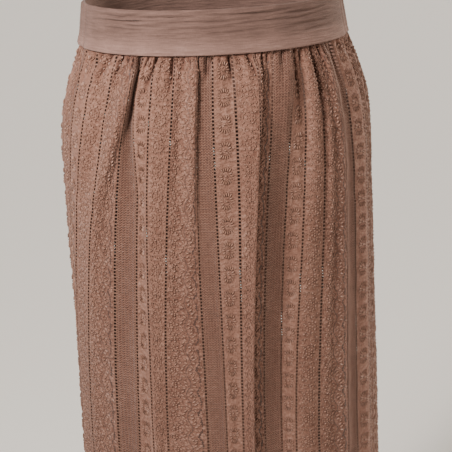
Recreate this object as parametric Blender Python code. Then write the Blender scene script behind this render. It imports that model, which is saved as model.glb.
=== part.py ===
"""Midi skirt, worn: a plain waistband over gathered panels of embroidered eyelet-stripe cotton.

The frame is +Z up, with the front facing -Y and the skirt's own right side at -X. The origin
is the middle of the waist, half way up the waistband. The skirt has four sewn pieces: a flat front
waistband, an elasticated back waistband, and a gathered front and back panel, each with its
plain hem turned up inside.

A panel is worked out on its flat cloth first: "place" runs across it and "drop" runs down it.
The tables of lines say how far round the body each line of the cloth hangs, and the tables of
folds say where the cloth stands out from the body, and which way the fold leans.
"""
import math

import bpy
import numpy as np

MM = 0.001

# ---- driving sizes -------------------------------------------------------------------------
SEAM_HEIGHT = -0.0225         # the waist seam, below the middle of the waistband
BAND_HEIGHT = 0.045
BAND_WALL = 0.0026            # two layers with their turned edges between
CLOTH_WALL = 0.0015
HEM_WALL = 0.0026             # the turned-up hem makes the wall thicker on its inner side
SKIRT_LENGTH = 0.720          # waist seam to hem
HEM_DEPTH = 0.030
SEAM_GAP = 0.0003             # between pieces that are sewn together

FRONT_CLOTH = 0.470           # width of the flat front panel, seam to seam
BACK_CLOTH = 0.680            # the back panel is fuller, for the elastic to gather
FRONT_GATHERS = 31
BACK_GATHERS = 36
GATHER_HEIGHT = 0.0026
BAND_RUCHES = 32
RUCHE_HEIGHT = 0.0011
STEPS_A_GATHER = 4
BAND_STEPS = 40

COTTON = (0.40, 0.245, 0.19)
BAND_COTTON = (0.36, 0.225, 0.185)

# ---- the body the skirt hangs on: level sections, m ----------------------------------------
# below the seam, half width, front depth, back depth
SECTIONS = (
    (-0.045, 0.1370, 0.0990, 0.1040),
    (0.000, 0.1450, 0.1060, 0.1120),
    (0.020, 0.1515, 0.1095, 0.1170),
    (0.045, 0.1600, 0.1135, 0.1230),
    (0.075, 0.1670, 0.1170, 0.1290),
    (0.105, 0.1700, 0.1190, 0.1320),
    (0.160, 0.1712, 0.1210, 0.1350),
    (0.250, 0.1727, 0.1230, 0.1370),
    (0.400, 0.1750, 0.1270, 0.1390),
    (0.720, 0.1820, 0.1340, 0.1460),
)

# ---- the hang of the cloth, mm -------------------------------------------------------------
LEVELS = (0.0, 0.10, 0.25, 0.72)   # the drops that the tables' last four columns stand for
OPENING_DROP = 0.08                # the cloth settles from its gathers over about this drop

# line down the cloth, its place on the cloth, then how far round from the centre front
FRONT_LINES = (
    ("side seam, right", 0.0, -172, -198, -222, -220),
    ("first holes", 30.0, -139, -167, -197, -192),
    ("second holes", 55.0, -112, -141, -172, -168),
    ("left lip of fold 1", 90.5, -91, -113, -132, -136),
    ("right of fold 1", 111.5, -80, -93, -106, -115),
    ("fourth holes", 135.0, -67, -81, -90, -93),
    ("fifth holes", 160.0, -46, -57, -70, -70),
    ("foot of fold 2", 200.0, -21, -28, -28, -31),
    ("seventh holes", 216.5, -7, -11, -11, -15),
    ("eighth holes", 240.0, 12, 12, 8, 6),
    ("lip of fold 3", 266.0, 33, 30, 20, 20),
    ("foot of fold 3", 280.0, 42, 32, 21, 23),
    ("tenth holes", 300.5, 55, 49, 39, 42),
    ("eleventh holes", 321.5, 77, 72, 61, 63),
    ("fold 4", 345.0, 87, 92, 79, 85),
    ("fold 5", 370.0, 100, 114, 106, 110),
    ("lip of fold 6", 405.5, 114, 135, 138, 146),
    ("side seam, left", 470.0, 172, 198, 203, 215),
)
# The back's lines hang evenly from one side seam to the other, but for those of its leaning
# folds: line, its place on the cloth, and how far on from its even place it hangs, mm.
BACK_LINES = (
    ("side seam, left", 0.0, 0.0),
    ("before fold 9", 110.0, 0.0),
    ("lip of fold 9", 158.0, -4.0),
    ("foot of fold 9", 180.0, -14.5),
    ("fold 10", 260.0, -5.0),
    ("before fold 12", 330.0, -2.0),
    ("foot of fold 12", 384.0, 5.0),
    ("lip of fold 12", 406.0, -6.0),
    ("fold 13", 455.0, -6.0),
    ("before fold 14", 530.0, 0.0),
    ("foot of fold 14", 560.0, 4.0),
    ("lip of fold 14", 581.0, -6.5),
    ("fold 15", 640.0, -3.5),
    ("side seam, right", 680.0, 0.0),
)

# fold, place at the seam, place lower down, half width on the cloth, lean (sideways for each
# mm outward, towards the next fold), then how far it stands out; a valley is below nothing
FRONT_FOLDS = (
    ("right hip", 30.0, 30.0, 24.0, 0.0, 1.0, 2.0, 3.0, 4.0),
    ("fold 1", 87.0, 56.0, 23.0, 1.1, 7.0, 6.0, 3.0, 4.0),
    ("hollow 1", 105.0, 102.0, 14.0, 0.0, -4.0, -4.0, -3.0, -3.0),
    ("round 1", 148.0, 148.0, 28.0, 0.0, 2.0, 3.0, 3.0, 5.0),
    ("fold 2", 186.0, 184.0, 18.0, 1.05, 6.0, 5.2, 1.5, 1.0),
    ("round 2", 226.0, 224.0, 20.0, 0.0, 1.0, 2.0, 2.0, 4.0),
    ("fold 3", 264.0, 257.0, 28.0, 0.85, 6.0, 7.5, 8.0, 8.0),
    ("hollow 3", 318.0, 318.0, 20.0, 0.0, 0.0, -1.0, -4.0, -4.0),
    ("fold 4", 344.0, 345.0, 12.0, 0.0, -6.0, -5.0, -1.0, 0.0),
    ("round 4", 357.0, 358.0, 14.0, -0.3, 3.5, 3.5, 4.0, 6.0),
    ("fold 5", 370.0, 371.0, 9.0, 0.0, -5.0, -4.0, -1.5, 0.0),
    ("fold 6", 400.0, 400.0, 16.0, 0.6, 3.5, 4.5, 3.5, 2.5),
    ("hollow 6", 421.0, 421.0, 10.0, 0.0, -4.0, -2.0, -1.0, -1.0),
    ("left hip", 446.0, 446.0, 18.0, 0.0, 1.0, 2.5, 3.0, 4.5),
)
BACK_FOLDS = (
    ("fold 8", 62.0, 66.0, 32.0, 0.4, 4.0, 7.0, 8.0, 8.0),
    ("fold 9", 148.0, 147.0, 32.0, 0.9, 5.0, 9.0, 9.5, 9.0),
    ("fold 10", 232.0, 236.0, 34.0, -0.3, 4.0, 8.0, 9.5, 10.0),
    ("fold 11", 318.0, 315.0, 34.0, 0.4, 4.0, 8.0, 10.0, 10.0),
    ("fold 12", 416.0, 417.0, 34.0, -0.9, 5.0, 9.0, 10.0, 9.5),
    ("fold 13", 497.0, 499.0, 32.0, 0.3, 4.0, 7.0, 8.0, 9.0),
    ("fold 14", 591.0, 592.0, 31.0, -0.9, 5.0, 8.5, 8.5, 8.0),
    ("fold 15", 650.0, 649.0, 20.0, 0.0, 1.0, 3.0, 4.0, 4.0),
)


# ---- the body's rings ----------------------------------------------------------------------
def ring_sizes(drop):
    """Half width, front depth and back depth of the ring at this drop, as smooth curves."""
    table = np.array(SECTIONS)
    slopes = np.gradient(table, table[:, 0], axis=0)
    drop = np.clip(drop, table[0, 0], table[-1, 0])
    i = np.clip(np.searchsorted(table[:, 0], drop) - 1, 0, len(table) - 2)
    span = table[i + 1, 0] - table[i, 0]
    q = (drop - table[i, 0]) / span
    sizes = []
    for column in (1, 2, 3):
        start = (2 * q**3 - 3 * q**2 + 1) * table[i, column]
        start += (q**3 - 2 * q**2 + q) * span * slopes[i, column]
        end = (3 * q**2 - 2 * q**3) * table[i + 1, column]
        end += (q**3 - q**2) * span * slopes[i + 1, column]
        sizes.append(start + end)
    return sizes


def quarter_length(half_width, depth):
    """Length of a quarter of an ellipse, from its mean radius."""
    return math.pi / 2 * np.sqrt((half_width**2 + depth**2) / 2)


def quarter_angle(length, half_width, depth):
    """Angle from the middle of the front or back at which an ellipse has run this far."""
    turn = length / np.sqrt((half_width**2 + depth**2) / 2)
    squash = (half_width**2 - depth**2) / (half_width**2 + depth**2) / 4
    angle = turn
    for _ in range(4):
        angle = turn - squash * np.sin(2 * angle)
    return angle


def ring_length(drop):
    half_width, front, back = ring_sizes(drop)
    return 2 * quarter_length(half_width, front) + 2 * quarter_length(half_width, back)


def on_ring(around, drop, out):
    """Point that lies so far round from the centre front, and so far out from the body."""
    half_width, front, back = ring_sizes(drop)
    front_quarter = quarter_length(half_width, front)
    back_quarter = quarter_length(half_width, back)
    whole = 2 * (front_quarter + back_quarter)
    around = (around + whole / 2) % whole - whole / 2
    behind = np.abs(around) > front_quarter
    depth = np.where(behind, back, front)
    length = np.where(behind, front_quarter + back_quarter - np.abs(around), np.abs(around))
    angle = quarter_angle(length, half_width, depth)
    side = np.sign(around)
    fore = np.where(behind, 1.0, -1.0)
    x = half_width * np.sin(angle) * side
    y = depth * np.cos(angle) * fore
    normal_x = depth * np.sin(angle) * side
    normal_y = half_width * np.cos(angle) * fore
    size = np.hypot(normal_x, normal_y)
    return x + out * normal_x / size, y + out * normal_y / size


# ---- the hang of a panel -------------------------------------------------------------------
def settle_terms(drop):
    """The four curves that a line of the cloth may follow from the seam down to the hem."""
    return np.stack([np.ones_like(drop), 1 - np.exp(-drop / OPENING_DROP), drop, drop**2])


def smooth(low, high, value):
    q = np.clip((value - low) / (high - low), 0, 1)
    return q * q * (3 - 2 * q)


def front_lines_around(drop):
    """How far round from the centre front each of the front's lines hangs at one drop, m."""
    at_levels = np.array([line[2:] for line in FRONT_LINES], float).T * MM
    weights = np.linalg.solve(settle_terms(np.array(LEVELS)).T, at_levels)
    return settle_terms(np.array(drop, float)) @ weights


def side_seams(drop):
    """How far round from the centre front the two side seams hang."""
    positions = front_lines_around(drop)
    return positions[0], positions[-1]


def fold_sums(folds, place, drop):
    """How far all the folds of a panel stand out and lean sideways, m."""
    out = np.zeros_like(place)
    aside = np.zeros_like(place)
    pressed = 0.35 + 0.65 * smooth(0.0, 0.02, drop)
    for _, high_place, low_place, half_width, lean, *heights in folds:
        centre = high_place + (low_place - high_place) * smooth(0.0, 0.18, drop)
        height = heights[0]
        for i in range(len(LEVELS) - 1):
            step = heights[i + 1] - heights[i]
            height = height + step * smooth(LEVELS[i], LEVELS[i + 1], drop)
        q = np.clip((place / MM - centre) / half_width, -1, 1)
        bump = (1 - q * q)**2 * height * pressed * MM
        out += bump
        aside += bump * lean
    return out, aside


def gather_wave(place, drop, width, count):
    """The small gathers that fan out under the waist seam, uneven in spacing and length."""
    share = place / width
    crowding = 0.22 * np.sin(13.0 * share) + 0.16 * np.sin(37.0 * share + 1.0)
    phase = count * share + crowding
    reach = 0.020 + 0.012 * np.sin(29.0 * share) + 0.007 * np.sin(71.0 * share + 2.0)
    strength = (0.4 + 0.6 * smooth(0.0, 0.009, drop)) * np.exp(-drop / reach)
    ends = smooth(0.0, 0.03, share) * smooth(0.0, 0.03, 1 - share)
    return GATHER_HEIGHT * strength * ends * np.sin(2 * math.pi * phase)


def front_hang(place, drop):
    """How far round and out each place of the front panel hangs at one drop."""
    at_line = [line[1] * MM for line in FRONT_LINES]
    around = np.interp(place, at_line, front_lines_around(drop))
    out, aside = fold_sums(FRONT_FOLDS, place, drop)
    return around + aside, out + gather_wave(place, drop, FRONT_CLOTH, FRONT_GATHERS)


def back_hang(place, drop):
    """The same for the back panel, from the left side seam round to the right one."""
    right, left = side_seams(drop)
    end = ring_length(drop) + right
    shifts = np.interp(place, [line[1] * MM for line in BACK_LINES],
                       [line[2] * MM for line in BACK_LINES])
    settled = 0.5 + 0.5 * smooth(0.0, 0.12, drop)
    around = left + (end - left) * place / BACK_CLOTH + shifts * settled
    out, aside = fold_sums(BACK_FOLDS, place, drop)
    return around + aside, out + gather_wave(place, drop, BACK_CLOTH, BACK_GATHERS)


# ---- walls ---------------------------------------------------------------------------------
def level_curve(hang, place, drop):
    """One level of a panel's middle surface, and its outward direction in plan."""
    around, out = hang(place, drop)
    x, y = on_ring(around, np.full_like(around, drop), out)
    along_x = np.gradient(x)
    along_y = np.gradient(y)
    size = np.hypot(along_x, along_y)
    normal_x, normal_y = along_y / size, -along_x / size
    for end in (0, -1):
        further_x, further_y = on_ring(around[end], drop, out[end] + 1.0)
        normal_x[end], normal_y[end] = further_x - x[end], further_y - y[end]
    return x, y, normal_x, normal_y


def wall_mesh(name, outer, inner):
    """A closed wall between two grids of points, each of rows from top to bottom."""
    rows, columns = outer.shape[:2]
    points = np.concatenate([outer.reshape(-1, 3), inner.reshape(-1, 3)])
    inside = rows * columns
    faces = []
    for r in range(rows - 1):
        for c in range(columns - 1):
            a = r * columns + c
            b, d, e = a + 1, a + columns, a + columns + 1
            faces.append((a, d, e, b))
            faces.append((a + inside, b + inside, e + inside, d + inside))
    for c in range(columns - 1):
        foot = (rows - 1) * columns + c
        faces.append((c, c + 1, c + 1 + inside, c + inside))
        faces.append((foot, foot + inside, foot + 1 + inside, foot + 1))
    for r in range(rows - 1):
        a = r * columns
        b = a + columns - 1
        faces.append((a, a + inside, a + columns + inside, a + columns))
        faces.append((b, b + columns, b + columns + inside, b + inside))
    mesh = bpy.data.meshes.new(name)
    mesh.from_pydata(points.tolist(), [], faces)
    mesh.validate()
    mesh.update()
    return mesh


def add_piece(name, mesh, colour, roughness):
    """Puts a piece in the scene with its own cloth material."""
    material = bpy.data.materials.new(name + "_cotton")
    material.use_nodes = True
    shader = material.node_tree.nodes["Principled BSDF"]
    shader.inputs["Base Color"].default_value = (*colour, 1.0)
    shader.inputs["Roughness"].default_value = roughness
    shader.inputs["Metallic"].default_value = 0.0
    mesh.materials.append(material)
    mesh.shade_smooth()
    mesh.set_sharp_from_angle(angle=math.radians(60))
    piece = bpy.data.objects.new(name, mesh)
    bpy.context.scene.collection.objects.link(piece)
    return piece


def panel(name, hang, width, gathers, drops):
    """A gathered panel: a wall of cloth, thicker where the hem is turned up inside."""
    place = np.linspace(SEAM_GAP / 2, width - SEAM_GAP / 2, gathers * STEPS_A_GATHER + 1)
    outer, inner = [], []
    for drop in drops:
        x, y, normal_x, normal_y = level_curve(hang, place, drop)
        z = np.full_like(x, SEAM_HEIGHT - SEAM_GAP - drop)
        half = CLOTH_WALL / 2
        inward = half if drop < SKIRT_LENGTH - HEM_DEPTH else HEM_WALL - half
        outer.append(np.stack([x + half * normal_x, y + half * normal_y, z], axis=-1))
        inner.append(np.stack([x - inward * normal_x, y - inward * normal_y, z], axis=-1))
    add_piece(name, wall_mesh(name, np.array(outer), np.array(inner)), COTTON, 0.85)


def waistband(name, start, end, steps, ruches):
    """A stretch of waistband between two shares of the ring, ruched where it holds elastic."""
    share = np.linspace(0.0, 1.0, steps + 1)
    band_levels = ((0.0, 1.0), (0.985, 1.0), (1.0, 0.72))
    outer, inner = [], []
    for height, thickness in reversed(band_levels):
        drop = -height * BAND_HEIGHT
        whole = ring_length(drop)
        around = (start + (end - start) * share) * whole
        ends = smooth(0.0, 0.04, share) * smooth(0.0, 0.04, 1 - share)
        wave = RUCHE_HEIGHT * ends * np.sin(2 * math.pi * ruches * share)
        half = BAND_WALL * thickness / 2
        ring_drop = np.full_like(around, drop)
        z = np.full_like(around, SEAM_HEIGHT + height * BAND_HEIGHT)
        x, y = on_ring(around, ring_drop, half + wave + RUCHE_HEIGHT * (ruches > 0) * ends)
        outer.append(np.stack([x, y, z], axis=-1))
        x, y = on_ring(around, ring_drop, np.full_like(around, -half))
        inner.append(np.stack([x, y, z], axis=-1))
    add_piece(name, wall_mesh(name, np.array(outer), np.array(inner)), BAND_COTTON, 0.8)


# ---- the skirt -----------------------------------------------------------------------------
for old in list(bpy.data.objects):
    bpy.data.objects.remove(old, do_unlink=True)

hem_top = SKIRT_LENGTH - HEM_DEPTH
DROPS = (0.0, 0.007, 0.018, 0.036, 0.062, 0.095, 0.140, 0.210, 0.320, 0.480,
         hem_top - 0.002, hem_top, SKIRT_LENGTH)
panel("skirt_front", front_hang, FRONT_CLOTH, FRONT_GATHERS, DROPS)
panel("skirt_back", back_hang, BACK_CLOTH, BACK_GATHERS, DROPS)

right_seam, left_seam = side_seams(0.0)
seam_ring = ring_length(0.0)
gap_share = SEAM_GAP / 2 / seam_ring
waistband("waistband_front", right_seam / seam_ring + gap_share,
          left_seam / seam_ring - gap_share, BAND_STEPS, 0)
waistband("waistband_back", left_seam / seam_ring + gap_share,
          1 + right_seam / seam_ring - gap_share, BAND_RUCHES * STEPS_A_GATHER, BAND_RUCHES)
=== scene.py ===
"""The looks of the midi skirt: gathered panels of embroidered eyelet-stripe cotton under a
plain cotton waistband. Lengths are metres and the frame is the model's own: +Z up, the front
facing -Y, the skirt's own right side at -X, the waist's middle at the origin."""
import math

import bpy
import numpy as np
from mathutils import Matrix, Vector


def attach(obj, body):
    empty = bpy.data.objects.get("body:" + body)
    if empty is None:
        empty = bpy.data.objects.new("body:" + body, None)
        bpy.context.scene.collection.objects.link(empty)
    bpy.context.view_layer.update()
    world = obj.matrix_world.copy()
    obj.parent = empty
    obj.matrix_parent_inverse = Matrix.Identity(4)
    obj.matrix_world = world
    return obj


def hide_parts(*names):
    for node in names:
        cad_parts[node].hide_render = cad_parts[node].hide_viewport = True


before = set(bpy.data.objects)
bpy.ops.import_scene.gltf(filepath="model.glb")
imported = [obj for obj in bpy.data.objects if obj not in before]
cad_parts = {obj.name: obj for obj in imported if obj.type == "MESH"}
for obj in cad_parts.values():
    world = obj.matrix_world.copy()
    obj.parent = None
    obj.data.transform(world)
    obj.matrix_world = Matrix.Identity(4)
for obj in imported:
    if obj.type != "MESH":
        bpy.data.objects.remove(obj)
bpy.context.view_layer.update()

# ---- FRONT PANEL ----
# A rectangle of thin embroidered cotton, 470 mm wide, gathered along its top edge and hung
# over the hips. Its main folds lean over each other, as they do when such a skirt is worn.
MM = 0.001
SEAM_HEIGHT = -0.0225
SEAM_GAP = 0.0003
SKIRT_LENGTH = 0.720
HEM_DROP = SKIRT_LENGTH / MM  # the same, mm
TUCK = 0.004                  # the cloth's top edge is held this far up inside the waistband
FRONT_CLOTH = 0.470
FRONT_GATHERS = 31
GATHER_HEIGHT = 0.0014

# the form that the folds stand out from: below the seam, half width, front depth, back depth
SECTIONS = (
    (-0.045, 0.1370, 0.0990, 0.1040),
    (0.000, 0.1450, 0.1060, 0.1120),
    (0.020, 0.1515, 0.1095, 0.1170),
    (0.045, 0.1600, 0.1135, 0.1230),
    (0.075, 0.1670, 0.1170, 0.1290),
    (0.105, 0.1700, 0.1190, 0.1320),
    (0.160, 0.1712, 0.1210, 0.1350),
    (0.250, 0.1727, 0.1230, 0.1370),
    (0.400, 0.1750, 0.1270, 0.1390),
    (0.720, 0.1820, 0.1340, 0.1460),
)
LEVELS = (0.0, 0.10, 0.25, 0.72)
OPENING_DROP = 0.08

# line down the cloth, its place on the cloth, then how far round from the centre front, mm
FRONT_LINES = (
    ("side seam, right", 0, -172, -198, -222, -220),
    ("first holes", 30, -139, -167, -197, -192),
    ("second holes", 55, -112, -141, -172, -168),
    ("left lip of fold 1", 90.5, -91, -113, -132, -136),
    ("right of fold 1", 111.5, -80, -93, -106, -115),
    ("fourth holes", 135, -67, -81, -90, -93),
    ("fifth holes", 160, -46, -57, -70, -70),
    ("foot of fold 2", 200, -21, -28, -28, -31),
    ("seventh holes", 216.5, -7, -11, -11, -15),
    ("eighth holes", 240, 12, 12, 8, 6),
    ("lip of fold 3", 266, 33, 30, 20, 20),
    ("foot of fold 3", 280, 42, 32, 21, 23),
    ("tenth holes", 300.5, 55, 49, 39, 42),
    ("eleventh holes", 321.5, 77, 72, 61, 63),
    ("fold 4", 345, 87, 92, 79, 85),
    ("fold 5", 370, 100, 114, 106, 110),
    ("lip of fold 6", 405.5, 114, 135, 138, 146),
    ("side seam, left", 470, 172, 198, 203, 215),
)
# fold, place at the seam, place lower down, half width, lean, then how far it stands out
FRONT_FOLDS = (
    ("right hip", 30, 30, 24, 0, 1, 2, 3, 4),
    ("fold 1", 87, 56, 23, 1.1, 7, 6, 3, 4),
    ("hollow 1", 105, 102, 14, 0, -4, -4, -3, -3),
    ("round 1", 148, 148, 28, 0, 2, 3, 3, 5),
    ("fold 2", 186, 184, 18, 1.05, 6, 5.2, 1.5, 1),
    ("round 2", 226, 224, 20, 0, 1, 2, 2, 4),
    ("fold 3", 264, 257, 28, 0.85, 6, 7.5, 8, 8),
    ("hollow 3", 318, 318, 20, 0, 0, -1, -4, -4),
    ("fold 4", 344, 345, 12, 0, -6, -5, -1, 0),
    ("round 4", 357, 358, 14, -0.3, 3.5, 3.5, 4, 6),
    ("fold 5", 370, 371, 9, 0, -5, -4, -1.5, 0),
    ("fold 6", 400, 400, 16, 0.6, 3.5, 4.5, 3.5, 2.5),
    ("hollow 6", 421, 421, 10, 0, -4, -2, -1, -1),
    ("left hip", 446, 446, 18, 0, 1, 2.5, 3, 4.5),
)
# the gathers' pinched valleys: place at the seam, place where it dies out, how far down it
# runs, half width and depth, all mm
FRONT_VALLEYS = (
    (7, 5, 26, 5, 2.2), (15, 12, 40, 5, 2.8), (25, 22, 24, 4, 2.6), (37, 27, 24, 4.5, 4.6),
    (50, 33, 36, 6, 4.8), (59, 54, 14, 4, 2.4), (69, 57, 32, 5, 4.2), (80, 68, 36, 5, 4.6),
    (88, 84, 24, 4.5, 5), (98, 100, 16, 4, 2.8), (104, 102, 60, 4, 3.4), (123, 116, 18, 4, 4.2),
    (130, 129, 10, 3, 2.4), (138, 123, 42, 4.5, 5.6), (147, 147, 14, 4, 2.4), (157, 157, 36, 6, 4.4),
    (166, 165, 12, 3.5, 2.4), (175, 171, 18, 3.5, 4), (183, 183, 10, 3, 2.4), (197, 198, 60, 4, 3.4),
    (209, 208, 20, 4.5, 3.4), (217, 209, 26, 4.5, 4.2), (226, 226, 10, 3, 2.2),
    (236, 240, 32, 4.5, 5.6), (246, 247, 14, 4, 2.4), (257, 263, 28, 5, 5.6), (269, 270, 14, 4, 3),
    (281, 280, 30, 5, 3.2), (292, 291, 14, 3.5, 3), (302, 302, 10, 3.5, 2.4), (311, 312, 16, 4, 3.2),
    (331, 337, 84, 8.5, 4.6), (342, 348, 16, 4, 4), (356, 356, 10, 3.5, 2.6), (370, 370, 60, 4, 2.8),
    (382, 383, 14, 3.5, 2.6), (392, 396, 44, 5.5, 4.6), (403, 406, 20, 4, 4.4),
    (414, 415, 14, 3.5, 2.8), (425, 424, 40, 4.5, 3), (439, 438, 16, 4.5, 3), (449, 449, 22, 4.5, 2.4),
    (460, 461, 30, 5, 2.6),
)
# soft creases between the folds: place at the top, place at the foot, the drops it runs
# between, half width, and how far it stands out (a trough is below nothing), all mm
FRONT_CREASES = (
    (117, 115, 60, 720, 20, -4), (300, 298, 60, 900, 22, -4.4), (377, 377, 10, 900, 14, 3.4),
    (358, 358, 10, 900, 14, -2.2), (316, 314, 10, 170, 9, 2.4), (333, 336, 10, 220, 10, -2.6),
    (84, 60, 2, 250, 18, 1.8), (60, 36, 12, 230, 14, -1.9), (92, 84, 6, 330, 9, 1.2),
    (188, 186, 20, 260, 7, 1.2), (262, 260, 30, 900, 9, 2.4), (322, 322, 20, 900, 26, -5),
    (328, 332, 60, 620, 10, -1.2), (14, 18, 2, 70, 6, -1.3), (44, 40, 2, 95, 7, -1.5),
    (62, 50, 2, 60, 5, 1.4), (72, 58, 2, 120, 6, -1.2), (119, 116, 0, 46, 5, 1.6),
    (128, 126, 0, 70, 5, -1.6), (143, 146, 0, 52, 4, -1.3), (158, 158, 0, 90, 6, -1.6),
    (169, 171, 0, 38, 4, -1.6), (210, 207, 0, 52, 4, -1.5), (222, 226, 0, 36, 4, 1.3),
    (231, 232, 0, 64, 5, -1.6), (247, 244, 0, 110, 6, -1.5), (291, 296, 0, 58, 5, -1.5),
    (306, 306, 4, 140, 7, 1.2), (330, 332, 0, 80, 6, -1.5), (385, 388, 0, 70, 5, -1.4),
    (433, 434, 0, 54, 6, -1.5), (456, 452, 4, 90, 6, -1.3), (120, 122, 120, 330, 9, -0.9),
    (176, 172, 150, 420, 9, -1), (210, 214, 180, 460, 8, -0.9), (247, 249, 200, 520, 9, -0.9),
    (334, 336, 150, 420, 8, -1.3), (388, 384, 160, 500, 9, -1.1), (36, 44, 170, 480, 9, -1.1),
    (80, 76, 240, 560, 9, -0.8), (300, 303, 260, 600, 8, -0.9), (140, 146, 360, 700, 10, 0.9),
    (226, 230, 420, 700, 9, -0.8),
)

# where the cloth has slid sideways over itself: place, half width, how far (mm), and the drops
# (m) at which it has slid in full, begins to slide back and is back in its place
FRONT_SLIDES = ((112, 21, -6.5, 0.030, 0.060, 0.160),)


def smooth(low, high, value):
    q = np.clip((value - low) / (high - low), 0, 1)
    return q * q * (3 - 2 * q)


def ring_sizes(drop):
    """Half width, front depth and back depth of the form at one drop."""
    table = np.array(SECTIONS)
    slopes = np.gradient(table, table[:, 0], axis=0)
    drop = min(max(drop, table[0, 0]), table[-1, 0])
    i = min(max(int(np.searchsorted(table[:, 0], drop)) - 1, 0), len(table) - 2)
    span = table[i + 1, 0] - table[i, 0]
    q = (drop - table[i, 0]) / span
    start = (2 * q**3 - 3 * q**2 + 1) * table[i] + (q**3 - 2 * q**2 + q) * span * slopes[i]
    end = (3 * q**2 - 2 * q**3) * table[i + 1] + (q**3 - q**2) * span * slopes[i + 1]
    return (start + end)[1:]


def quarter_length(half_width, depth):
    return math.pi / 2 * math.sqrt((half_width**2 + depth**2) / 2)


def ring_length(drop):
    half_width, front, back = ring_sizes(drop)
    return 2 * quarter_length(half_width, front) + 2 * quarter_length(half_width, back)


def on_ring(around, drop, out):
    """Points so far round from the centre front at one drop, and so far out from the form."""
    half_width, front, back = ring_sizes(drop)
    front_quarter = quarter_length(half_width, front)
    back_quarter = quarter_length(half_width, back)
    whole = 2 * (front_quarter + back_quarter)
    around = (around + whole / 2) % whole - whole / 2
    behind = np.abs(around) > front_quarter
    depth = np.where(behind, back, front)
    length = np.where(behind, front_quarter + back_quarter - np.abs(around), np.abs(around))
    turn = length / np.sqrt((half_width**2 + depth**2) / 2)
    squash = (half_width**2 - depth**2) / (half_width**2 + depth**2) / 4
    angle = turn
    for _ in range(4):
        angle = turn - squash * np.sin(2 * angle)
    side = np.sign(around)
    fore = np.where(behind, 1.0, -1.0)
    normal_x = depth * np.sin(angle) * side
    normal_y = half_width * np.cos(angle) * fore
    size = np.hypot(normal_x, normal_y)
    x = half_width * np.sin(angle) * side + out * normal_x / size
    y = depth * np.cos(angle) * fore + out * normal_y / size
    return x, y


def settle_terms(drop):
    return np.stack([np.ones_like(drop), 1 - np.exp(-drop / OPENING_DROP), drop, drop**2])


def front_lines_around(drop):
    at_levels = np.array([line[2:] for line in FRONT_LINES], float).T * MM
    weights = np.linalg.solve(settle_terms(np.array(LEVELS)).T, at_levels)
    return settle_terms(np.array(drop, float)) @ weights


def fold_sums(folds, place, drop):
    """How far all the folds of a panel stand out and lean sideways."""
    out = np.zeros_like(place)
    aside = np.zeros_like(place)
    pressed = 0.35 + 0.65 * smooth(0.0, 0.02, drop)
    for _, high_place, low_place, half_width, lean, *heights in folds:
        centre = high_place + (low_place - high_place) * smooth(0.0, 0.18, drop)
        height = heights[0]
        for i in range(len(LEVELS) - 1):
            step = heights[i + 1] - heights[i]
            height = height + step * smooth(LEVELS[i], LEVELS[i + 1], drop)
        q = np.clip((place / MM - centre) / half_width, -1, 1)
        bump = (1 - q * q)**2 * height * pressed * MM
        out += bump
        aside += bump * lean
    return out, aside


def gather_wave(place, drop, width, count):
    """The small gathers under the waist seam: round ridges with pinched valleys between."""
    share = place / width
    crowding = 0.22 * np.sin(13.0 * share) + 0.16 * np.sin(37.0 * share + 1.0)
    phase = count * share + crowding
    reach = 0.020 + 0.012 * np.sin(29.0 * share) + 0.007 * np.sin(71.0 * share + 2.0)
    strength = (0.4 + 0.6 * smooth(0.0, 0.009, drop)) * np.exp(-drop / reach)
    ends = smooth(0.0, 0.03, share) * smooth(0.0, 0.03, 1 - share)
    ridge = np.abs(np.cos(math.pi * (phase - 0.25)))
    return GATHER_HEIGHT * strength * ends * (2 * ridge**0.75 - 1)


VALLEY_LOFT = 1.3             # the valleys sink in this many times their charted depth


def valley_sums(valleys, place, drop):
    """How far the gathers' pinched valleys sink in at one drop."""
    out = np.zeros_like(place)
    start = 0.45 + 0.55 * smooth(0.0, 0.005, drop)
    for high_place, low_place, reach, half_width, depth in valleys:
        along = max(drop / MM / reach, 0.0)
        if along < 1:
            centre = high_place + (low_place - high_place) * along
            q = np.clip(np.abs(place / MM - centre) / (half_width * (1 + 0.6 * along)), 0, 1)
            out -= (1 - q)**1.5 * depth * (1 - along)**0.6 * start * VALLEY_LOFT * MM
    return out


def crease_sums(creases, place, drop):
    """How far the soft creases stand out at one drop."""
    out = np.zeros_like(place)
    for high_place, low_place, start, end, half_width, height in creases:
        along = (drop / MM - start) / (end - start)
        if 0 <= along <= 1:
            centre = high_place + (low_place - high_place) * along
            q = np.clip((place / MM - centre) / half_width, -1, 1)
            fade = smooth(0.0, 0.12, along) * smooth(0.0, 0.75, 1 - along)
            out += (1 - q * q)**2 * height * fade * MM
    return out


def drape(place, drop, width, gathers, folds, valleys, creases):
    """How far a panel's folds, gathers, valleys and creases stand out and lean at one drop."""
    out, aside = fold_sums(folds, place, drop)
    out += gather_wave(place, drop, width, gathers)
    out += valley_sums(valleys, place, drop) + crease_sums(creases, place, drop)
    return out, aside


def front_hang(place, drop):
    """How far round and out each place of the front panel hangs at one drop."""
    at_line = [line[1] * MM for line in FRONT_LINES]
    around = np.interp(place, at_line, front_lines_around(drop))
    out, aside = drape(place, drop, FRONT_CLOTH, FRONT_GATHERS, FRONT_FOLDS, FRONT_VALLEYS,
                       FRONT_CREASES)
    for centre, half_width, slide, begun, full, done in FRONT_SLIDES:
        q = np.clip((place / MM - centre) / half_width, -1, 1)
        aside += (1 - q * q)**2 * slide * MM * smooth(0, begun, drop) * smooth(-done, -full, -drop)
    return around + aside, out


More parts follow.
